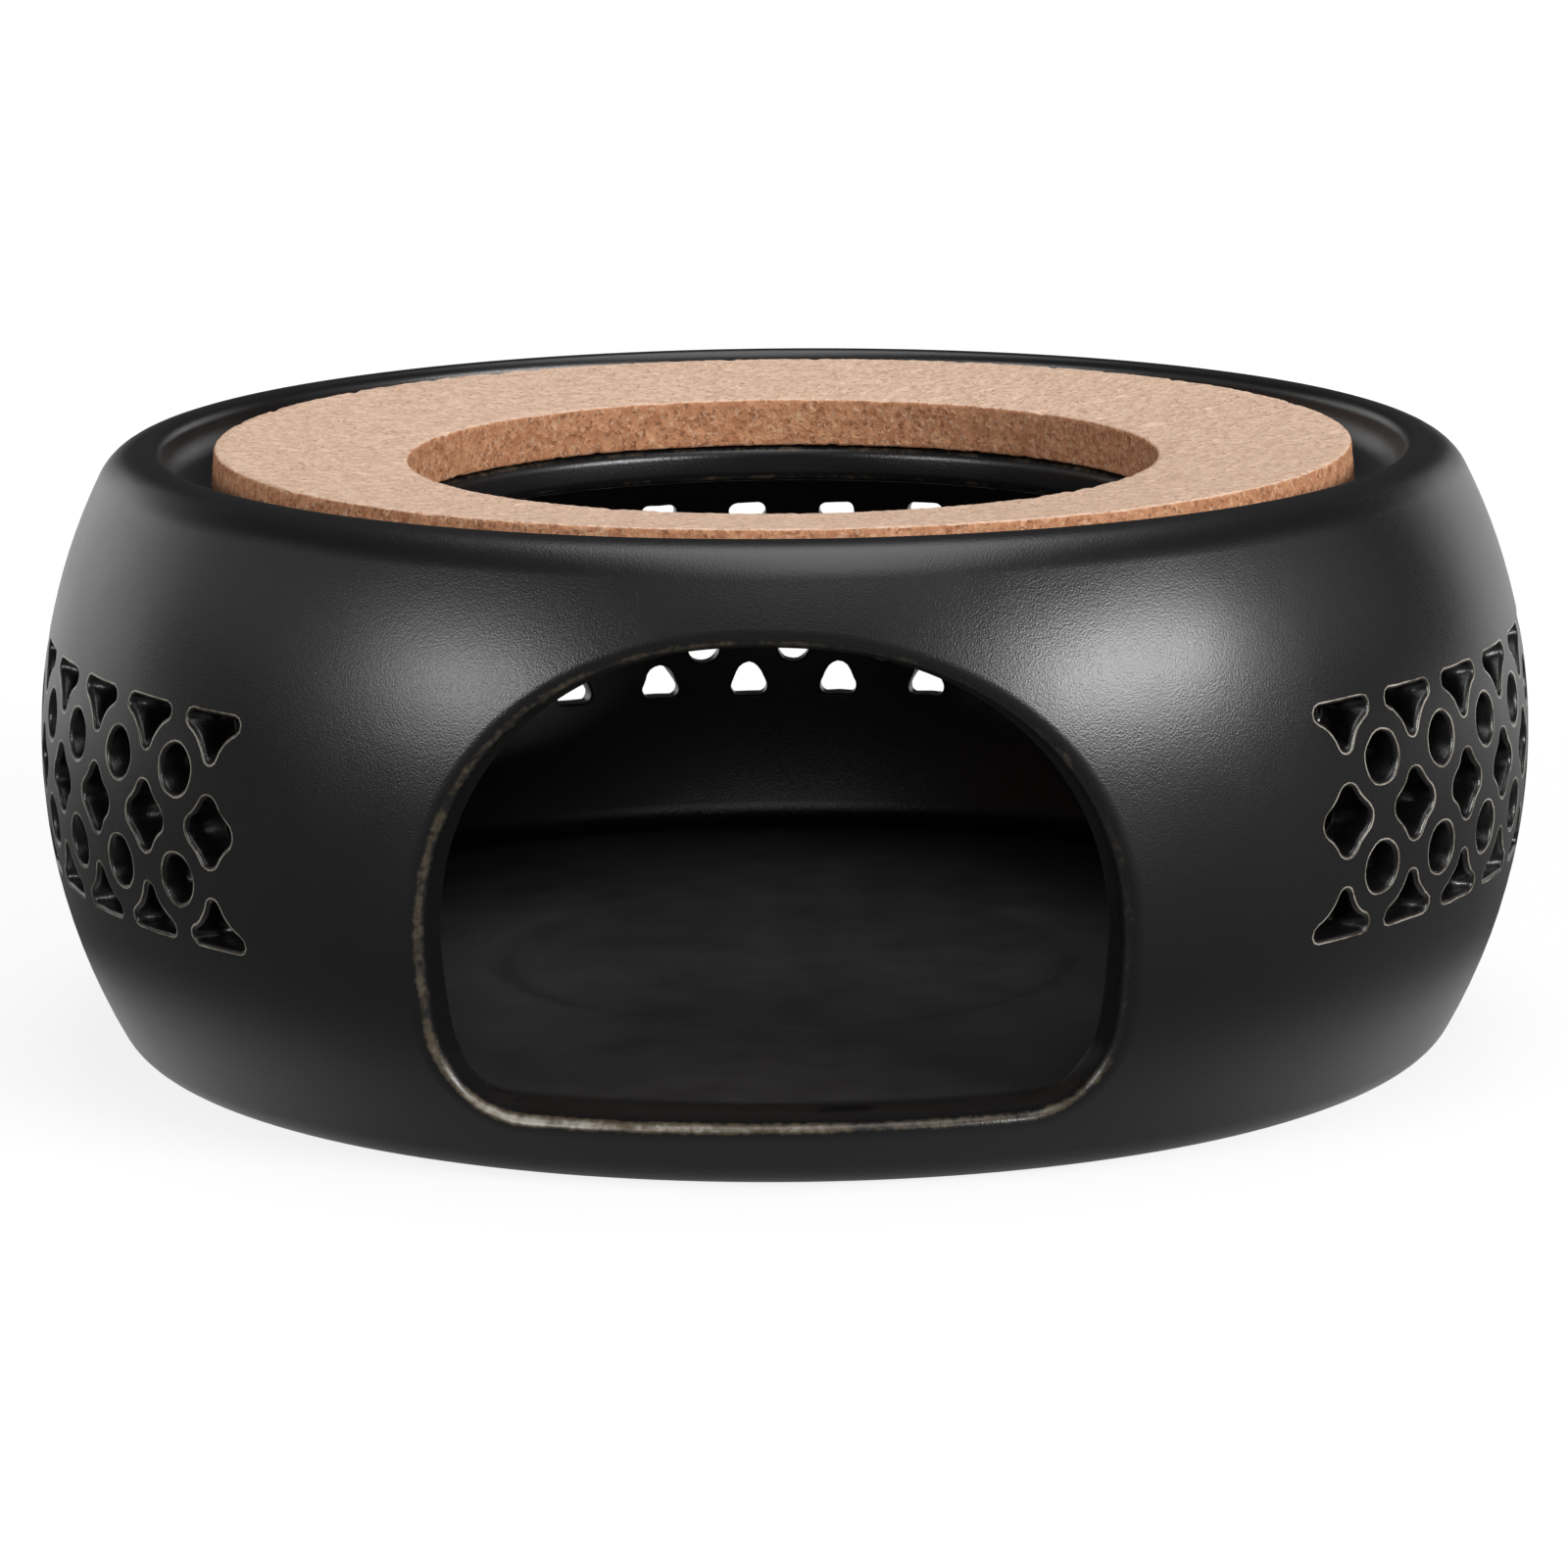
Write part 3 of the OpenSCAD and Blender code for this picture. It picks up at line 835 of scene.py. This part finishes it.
# %% One closed body
shell_mesh = bpy.data.meshes.new("stove_shell")
shell_mesh.from_pydata(shell_points, [], shell_faces)
shell_mesh.attributes.new("thin_glaze", "FLOAT", "POINT").data.foreach_set("value", shell_thin)
MERGE_M, CROWDED_M = 2e-6, 1e-7
work = bmesh.new()
work.from_mesh(shell_mesh)
work.from_mesh(band_mesh)
before = len(work.verts)
bmesh.ops.remove_doubles(work, verts=work.verts, dist=MERGE_M)
bmesh.ops.dissolve_degenerate(work, edges=work.edges, dist=CROWDED_M)
bmesh.ops.recalc_face_normals(work, faces=work.faces)
for face in work.faces:
    face.smooth = True
    face.material_index = 0
open_edges = [e for e in work.edges if len(e.link_faces) != 2]
print("merged", before - len(work.verts), "points; open or crowded edges:", len(open_edges))
print("volume in litres:", round(work.calc_volume() * 1000, 4))
body_mesh = bpy.data.meshes.new("stove_body_glazed")
work.to_mesh(body_mesh)
work.free()
body_mesh.materials.clear()
body_mesh.materials.append(black_glaze)
for old in (shell_mesh, band_mesh):
    bpy.data.meshes.remove(old)
body = placed("stove_body_glazed", body_mesh)
print("body:", sum(len(p.vertices) - 2 for p in body_mesh.polygons), "triangles")


# %% Exact normals on the belly
WALL_FROM, ON_ARC = 50, 0.01


def belly_normals(mesh):
    """Gives each point near the wall that lies on a belly arc the arc's own normal."""
    normals = [v.normal.copy() for v in mesh.vertices]
    exact = 0
    for v in mesh.vertices:
        r, z = hypot(v.co.x, v.co.y) / MM, v.co.z / MM
        away = hypot(r - BELLY.x, z - BELLY.y)
        if r < WALL_FROM:
            continue
        for radius, sign in ((OUTER, 1), (INNER, -1)):
            if abs(away - radius) < ON_ARC:
                across = Vector((v.co.x, v.co.y, 0)).normalized() * (r - BELLY.x)
                normals[v.index] = sign * (across + Vector((0, 0, z - BELLY.y))).normalized()
                exact += 1
    mesh.normals_split_custom_set_from_vertices(normals)
    return exact


print("points with an exact normal:", belly_normals(body_mesh))

# %% [markdown]
# The ring is pressed cork: crumbs of bark held by a binder, cut to a ring and
# lightly sanded. Its faces are flat to the eye, but crumbs have broken out of
# the edges and left small pits. The ring is swept from its section with
# closely spaced rows, and a cell noise pushes single points inwards, so the
# pits are real dents and not only a trick of the shading.

# %% The cork ring
CORK_HOLE, CORK_T, CORK_GAP, CORK_EDGE = 38.1, 5.1, 0.1, 0.35
CORK_COLUMNS = 900
# Crumbs and pits for each millimetre, and the depth of the deepest dent
CRUMBS, PITS, DEEPEST = 0.95, 0.6, 0.32
along_seat = Vector((cos(radians(SLOPE)), sin(radians(SLOPE))))
off_seat = Vector((-sin(radians(SLOPE)), cos(radians(SLOPE))))
cork_low_in = Vector((CORK_HOLE, seat_z(CORK_HOLE) + CORK_GAP / cos(radians(SLOPE))))
cork_width = (CORK_R - CORK_HOLE) / cos(radians(SLOPE))


def cork_section():
    """Closed section of the ring as [point, outward way] pairs, from the inner lower edge."""
    rows = []
    e, width = CORK_EDGE, cork_width

    def at(u, v):
        return cork_low_in + u * along_seat + v * off_seat

    def side(start, end, steps, way):
        rows.extend((at(*start).lerp(at(*end), i / steps), way) for i in range(steps + 1))

    def corner(u, v, start):
        for i in (1, 2):
            t = radians(start + 30 * i)
            way = cos(t) * along_seat + sin(t) * off_seat
            rows.append((at(u, v) + e * way, way))

    side((e, 0), (width - e, 0), 6, -off_seat)
    corner(width - e, e, -90)
    side((width, e), (width, CORK_T - e), 10, along_seat)
    corner(width - e, CORK_T - e, 0)
    side((width - e, CORK_T), (e, CORK_T), 28, off_seat)
    corner(e, CORK_T - e, 90)
    side((0, CORK_T - e), (0, e), 10, -along_seat)
    corner(e, e, 180)
    return rows


def dent(place):
    """How far the surface has sunk at a place: shallow between crumbs, deeper in a pit."""
    crumbs, _ = noise.voronoi(place / MM * CRUMBS, distance_metric="DISTANCE", exponent=2.5)
    pit = max(0.0, noise.noise(place / MM * PITS + Vector((7, 3, 1))) - 0.2)
    return min(0.12 * max(0.0, 0.45 - crumbs[1] + crumbs[0]) + 0.34 * pit, DEEPEST)


rows = cork_section()
cork_points = []
for point, way in rows:
    for k in range(CORK_COLUMNS):
        t = 360 * k / CORK_COLUMNS
        sunk = point - dent(spot(t, point.x, point.y)) * way
        cork_points.append(spot(t, sunk.x, sunk.y))
ring_ids = [list(range(j * CORK_COLUMNS, (j + 1) * CORK_COLUMNS)) for j in range(len(rows))]
cork_faces = []
for one, two in zip(ring_ids, ring_ids[1:] + ring_ids[:1]):
    cork_faces += quads(one, two, closed=True)
cork_mesh = bpy.data.meshes.new("cork_ring_pressed")
cork_mesh.from_pydata(cork_points, [], cork_faces)
work = bmesh.new()
work.from_mesh(cork_mesh)
bmesh.ops.recalc_face_normals(work, faces=work.faces)
for face in work.faces:
    face.smooth = True
work.to_mesh(cork_mesh)
work.free()
cork = placed("cork_ring_pressed", cork_mesh)
pressed_cork = bpy.data.materials.new("pressed_cork")
cork_mesh.materials.append(pressed_cork)
print("cork ring:", 2 * len(cork_mesh.polygons), "triangles")

# %% [markdown]
# Both finishes need grain at a real size. One shader group makes it: a noise
# in object coordinates, with a size in millimetres, a spread and a seed. It
# puts out a value between 0 and 1 that either material shapes in its own way.

# %% Shared grain group
grain_group = bpy.data.node_groups.new("grain", "ShaderNodeTree")
for name, value in (("Size mm", 1.0), ("Detail", 2.0), ("Seed", 0.0), ("Low", 0.0), ("High", 1.0)):
    setting = grain_group.interface.new_socket(name, in_out="INPUT", socket_type="NodeSocketFloat")
    setting.default_value = value
grain_group.interface.new_socket("Value", in_out="OUTPUT", socket_type="NodeSocketFloat")
g = Wiring(grain_group)
g_in = g.node("NodeGroupInput").outputs
g_noise = g.node("ShaderNodeTexNoise", {
    "Vector": g.node("ShaderNodeTexCoord").outputs["Object"], "Detail": g_in["Detail"],
    "Scale": g.math("DIVIDE", 1000.0, g_in["Size mm"]), "W": g_in["Seed"]}, noise_dimensions="4D")
g_map = g.node("ShaderNodeMapRange", {
    "Value": g_noise.outputs["Fac"], "From Min": g_in["Low"], "From Max": g_in["High"]})
g.node("NodeGroupOutput", {0: g_map.outputs[0]})


class Finish(Wiring):
    """A material's own tree, with the grain group close at hand."""

    def __init__(self, material):
        self.material = material
        material.use_nodes = True
        super().__init__(material.node_tree)
        self.tree.nodes.clear()
        self.skin = self.node("ShaderNodeBsdfPrincipled")
        self.node("ShaderNodeOutputMaterial", {"Surface": self.skin.outputs[0]})

    def place(self):
        return self.node("ShaderNodeTexCoord").outputs["Object"]

    def grain(self, size, detail=2.0, seed=0.0, low=0.3, high=0.7):
        inputs = {"Size mm": size, "Detail": detail, "Seed": seed, "Low": low, "High": high}
        return self.node("ShaderNodeGroup", inputs, node_tree=grain_group).outputs[0]

    def mix(self, share, one, two):
        return self.node("ShaderNodeMix", {0: share, 6: one, 7: two}, data_type="RGBA").outputs[2]

    def blend(self, share, low, high):
        """A number between low and high."""
        return self.node("ShaderNodeMapRange", {"Value": share, "To Min": low, "To Max": high}).outputs[0]

    def rising(self, value, first, last, low=0.0, high=1.0):
        """A smooth step from low to high while the value goes from first to last."""
        inputs = {"Value": value, "From Min": first, "From Max": last, "To Min": low, "To Max": high}
        return self.node("ShaderNodeMapRange", inputs, interpolation_type="SMOOTHSTEP").outputs[0]

    def bump(self, height, strength, distance_mm, below=None):
        inputs = {"Height": height, "Strength": strength, "Distance": distance_mm * MM}
        if below is not None:
            inputs["Normal"] = below
        return self.node("ShaderNodeBump", inputs).outputs[0]


def rgb(red, green, blue):
    return (red, green, blue, 1.0)


# %% [markdown]
# The glaze is a satin black. Over flat clay it is thick and even, with a fine
# tooth that softens the highlights; over a cut edge it pulls back in the kiln
# and turns brown, then beige where hardly any is left. Round the pierced holes
# that light line is partly thin glaze and partly a painted highlight on the
# rounded edge. The mesh says where an edge is, and noise decides how far the
# glaze has drawn back at each place.
# Inside the chamber a little grey is painted over the glaze: painted light, for the light
# that falls in through the seat's hole and the window. One sphere, centred
# below the foot, takes in the chamber's floor but not the belly outside.

# %% Black glaze
# The grey on the next line is painted light for the chamber, and the sphere after it sets where that
# painted light lies.
BROWN, BEIGE, PAINTED_LIGHT_GREY = rgb(0.080, 0.062, 0.040), rgb(0.38, 0.352, 0.305), rgb(0.5, 0.5, 0.5)
PAINTED_LIGHT_Z, PAINTED_LIGHT_FULL, PAINTED_LIGHT_END, PAINTED_LIGHT_FROM = -56.2 * MM, 88.0 * MM, 90.0 * MM, 3.0 * MM
f = Finish(black_glaze)
# The edge value read next paints brown and beige; round the pierced holes its light line is partly thin
# glaze and partly a painted highlight.
thin = f.node("ShaderNodeAttribute", attribute_name="thin_glaze").outputs["Fac"]
bare_and_highlight = f.math("MULTIPLY", thin, f.math("ADD", 0.5, f.math("MULTIPLY", f.grain(4.0, 3.0, 1.0), 0.7)))
bare_and_highlight = f.math("SUBTRACT", bare_and_highlight, f.math("MULTIPLY", f.grain(0.6, 2.0, 2.0), 0.2))
colour = f.mix(f.grain(30.0, 2.0, 3.0), rgb(0.0034, 0.0034, 0.0038), rgb(0.0056, 0.0056, 0.0062))
colour = f.mix(f.rising(bare_and_highlight, 0.08, 0.40), colour, BROWN)
colour = f.mix(f.rising(bare_and_highlight, 0.35, 0.80), colour, BEIGE)
place = f.place()
# Painted light: a mottled grey over the chamber's inside stands in for the light that falls in through the
# seat's hole and the window.
from_centre = f.node("ShaderNodeVectorMath", {0: place, 1: (0.0, 0.0, PAINTED_LIGHT_Z)}, operation="DISTANCE")
in_chamber = f.rising(from_centre.outputs["Value"], PAINTED_LIGHT_FULL, PAINTED_LIGHT_END, 1.0, 0.0)
in_chamber = f.math("MULTIPLY", in_chamber, f.math("GREATER_THAN", f.parts(place)[2], PAINTED_LIGHT_FROM))
painted_chamber_light = f.math("MULTIPLY", in_chamber, f.blend(f.grain(7.0, 4.0, 8.0), 0.025, 0.055))
tooth = f.bump(f.grain(0.17, 1.0, 5.0), 0.30, 0.035)
f.fill(f.skin, {
    "Base Color": f.mix(painted_chamber_light, colour, PAINTED_LIGHT_GREY),
    "Roughness": f.blend(f.grain(14.0, 3.0, 4.0), 0.29, 0.34),
    "Specular IOR Level": 0.5,
    "Normal": f.bump(f.grain(9.0, 2.0, 6.0, 0.0, 1.0), 0.10, 0.4, tooth)})

# %% [markdown]
# Pressed cork is read by its crumbs: each is one tone of tan, the seams
# between them are darker, and a few crumbs are bark, dark brown or nearly
# black. Two cell textures give big and small crumbs, and a fine noise bends
# their outlines, so that no crumb has straight sides. The cut sides are
# darker and redder than the sanded top, because they are open and catch
# little light between the crumbs, so the side's share comes from the normal.

# %% Pressed cork
f = Finish(pressed_cork)
warp = f.node("ShaderNodeTexNoise", {"Vector": f.place(), "Scale": 1800.0}, noise_dimensions="3D")
warped = f.node("ShaderNodeMixRGB", {0: 0.0004, 1: f.place(), 2: warp.outputs["Color"]},
                blend_type="LINEAR_LIGHT")


def crumbs_of(size_mm):
    """Cells of crumbs: their three random tones and the distance from each crumb's middle."""
    inputs = {"Vector": warped.outputs[0], "Scale": 1000 / size_mm}
    cells = f.node("ShaderNodeTexVoronoi", inputs, feature="F1")
    tones = f.node("ShaderNodeSeparateColor", {0: cells.outputs["Color"]})
    return tones.outputs, cells.outputs["Distance"]


def some(value, share, strength):
    """A mask for the crumbs whose tone lies in the highest share."""
    return f.math("MULTIPLY", f.math("GREATER_THAN", value, 1 - share), strength)


tone, middle = crumbs_of(0.75)
speck, _ = crumbs_of(0.34)
flour = f.grain(0.28, 2.0, 11.0)
top_tan = f.mix(tone[0], rgb(0.520, 0.330, 0.232), rgb(0.715, 0.500, 0.370))
top_tan = f.mix(f.math("MULTIPLY", flour, 0.5), top_tan, rgb(0.80, 0.60, 0.47))
top_tan = f.mix(some(speck[1], 0.12, 0.6), top_tan, rgb(0.40, 0.225, 0.135))
cut_tan = f.mix(tone[1], rgb(0.340, 0.130, 0.056), rgb(0.540, 0.262, 0.136))
cut_tan = f.mix(f.math("MULTIPLY", flour, 0.35), cut_tan, rgb(0.56, 0.31, 0.18))
cut_tan = f.mix(some(speck[0], 0.13, 0.5), cut_tan, rgb(0.115, 0.042, 0.020))
cut_tan = f.mix(some(speck[2], 0.12, 0.4), cut_tan, rgb(0.70, 0.48, 0.33))
upward = f.parts(f.node("ShaderNodeNewGeometry").outputs["Normal"])[2]
f.fill(f.skin, {
    "Base Color": f.mix(f.rising(upward, 0.45, 0.85), cut_tan, top_tan),
    "Roughness": 0.85,
    "Specular IOR Level": 0.25,
    "Normal": f.bump(middle, 0.45, 0.25, f.bump(f.grain(0.25, 2.0, 9.0), 0.4, 0.1))})

# %% [markdown]
# The camera stands where the photographer's did: about 70 cm away with a long
# lens, 11.5 degrees above the table and one degree to the right of the window.

# %% Camera
VIEW_TURN, VIEW_RISE, VIEW_ROLL = radians(1.05), radians(11.462), 0.0079
# The point that the view is centred on, right of and above the origin, and its distance, in mm
VIEW_RIGHT, VIEW_UP, VIEW_FAR = -0.1346, 24.906, 699.23
FOCAL_PX, FRAME_PX, SENSOR = 7020.8, 1600, 36
back = Vector((sin(VIEW_TURN) * cos(VIEW_RISE), -cos(VIEW_TURN) * cos(VIEW_RISE), sin(VIEW_RISE)))
right = Vector((cos(VIEW_TURN), sin(VIEW_TURN), 0))
eye = right * VIEW_RIGHT * MM + Vector((0, 0, VIEW_UP * MM)) + back * VIEW_FAR * MM
lens = bpy.data.cameras.new("camera")
lens.sensor_width = SENSOR
lens.lens = FOCAL_PX * SENSOR / FRAME_PX
lens.clip_start, lens.clip_end = 0.05, 20
camera = placed("camera", lens)
facing = Matrix((right, back.cross(right), back)).transposed() @ Matrix.Rotation(-VIEW_ROLL, 3, "Z")
camera.matrix_world = Matrix.Translation(eye) @ facing.to_4x4()
bpy.context.scene.camera = camera

# %% [markdown]
# Two narrow soft boxes stand low in front, to the left and right, and draw the
# two highlights on the upper front of the belly. A long one hangs overhead for
# the band under the rim, a faint one lights the middle of the front, and two
# more stand at the sides. Two white sheets stand behind at the left and right:
# the glaze shows them as a bright line along its outline. The floor is pale
# paper that keeps a soft shadow, a little darker near the stove, and the glaze
# mirrors it more strongly behind and beside the stove than in front.

# %% Lights
AIM = Vector((0, -0.06, 0.05))


def soft_box(name, turn, rise, distance, width, height, radiance):
    """A soft box seen from the stove at an angle from the window and a height angle."""
    t, lift = radians(turn), radians(rise)
    way = Vector((sin(t) * cos(lift), -cos(t) * cos(lift), sin(lift)))
    data = bpy.data.lights.new(name, "AREA")
    data.shape, data.size, data.size_y = "RECTANGLE", width, height
    data.energy = radiance * pi * width * height
    made = placed(name, data)
    made.location = AIM + way * distance
    made.rotation_euler = (-way).to_track_quat("-Z", "Y").to_euler()


# Turn and rise in degrees; distance, width and height in metres; radiance
soft_box("box_left", -50, 18.7, 1.0, 0.46, 0.17, 16.0)
soft_box("box_right", 57, 19.7, 1.0, 0.56, 0.17, 31.5)
soft_box("box_over", 97, 86, 1.05, 1.40, 0.62, 2.9)
soft_box("box_mid", 3, 46, 1.2, 0.60, 0.22, 1.5)
soft_box("side_left", -90, 22, 1.2, 1.00, 0.55, 0.45)
soft_box("side_right", 92, 22, 1.2, 0.80, 0.55, 0.45)

# %% World, backdrop and floor
world = bpy.data.worlds.new("tent")
bpy.context.scene.world = world
world.use_nodes = True
sky = Wiring(world.node_tree)
world.node_tree.nodes.clear()
dim = sky.node("ShaderNodeBackground", {"Strength": 0.07})
plain = sky.node("ShaderNodeBackground", {"Strength": 1.0})
paths = sky.node("ShaderNodeLightPath").outputs
seen = sky.math("MAXIMUM", paths["Is Camera Ray"], paths["Is Transmission Ray"])
choice = sky.node("ShaderNodeMixShader", {0: seen, 1: dim.outputs[0], 2: plain.outputs[0]})
sky.node("ShaderNodeOutputWorld", {"Surface": choice.outputs[0]})


def staged(name, points, faces, material):
    mesh = bpy.data.meshes.new(name)
    mesh.from_pydata(points, [], faces)
    mesh.materials.append(material)
    placed(name, mesh)


def glowing(name, base, roughness):
    """A finish that also shines white, as strongly as its Emission Strength says."""
    made = Finish(bpy.data.materials.new(name))
    made.fill(made.skin, {"Base Color": rgb(base, base, base), "Roughness": roughness,
                          "Emission Color": rgb(1, 1, 1)})
    return made, made.node("ShaderNodeLightPath").outputs


f, paths = glowing("white_sheet", 0.8, 1.0)
shown = f.math("MAXIMUM", paths["Is Camera Ray"], paths["Is Glossy Ray"])
f.fill(f.skin, {"Emission Strength": f.math("MAXIMUM", shown, paths["Is Transmission Ray"])})
SHEET_R, SHEET_STEPS = 2.2, 8
for name, first, last, tall in (("sheet_right", 134, 160, 0.7), ("sheet_left", 202, 244, 0.8)):
    turns = [radians(first + (last - first) * i / SHEET_STEPS) for i in range(SHEET_STEPS + 1)]
    low, high = ([(SHEET_R * sin(t), -SHEET_R * cos(t), z) for t in turns] for z in (0.0, tall))
    ids = list(range(2 * len(turns)))
    staged(name, low + high, quads(ids[:len(turns)], ids[len(turns):]), f.material)

f, paths = glowing("white_paper", 0.15, 0.9)
place = f.place()
from_middle = f.node("ShaderNodeVectorMath", {0: place}, operation="LENGTH").outputs["Value"]
beside_x, behind_y, _ = f.parts(place)
seen = f.math("MULTIPLY", paths["Is Camera Ray"], f.rising(from_middle, 0.12, 0.5, 0.84, 1.0))
behind = f.rising(behind_y, 0.0, 0.35, 0.0, 0.85)
beside = f.rising(f.math("ABSOLUTE", beside_x), 0.03, 0.07, 0.25, 0.55)
near = f.rising(from_middle, 0.070, 0.090, 1.0, 0.0)
mirrored_light = f.math("ADD", behind, f.math("MULTIPLY", beside, near))
glossy = f.math("MULTIPLY", paths["Is Glossy Ray"], mirrored_light)
f.fill(f.skin, {"Emission Strength": f.math("ADD", seen, glossy)})
FLOOR_HALF = 3
floor_corners = [(-FLOOR_HALF, -FLOOR_HALF, 0), (FLOOR_HALF, -FLOOR_HALF, 0),
                 (FLOOR_HALF, FLOOR_HALF, 0), (-FLOOR_HALF, FLOOR_HALF, 0)]
staged("floor", floor_corners, [(0, 1, 2, 3)], f.material)
bpy.context.scene.view_settings.view_transform = "Standard"

# %% Hand over to the frame
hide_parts("stove_body")
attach(body, "root")
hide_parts("cork_ring")
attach(cork, "root")
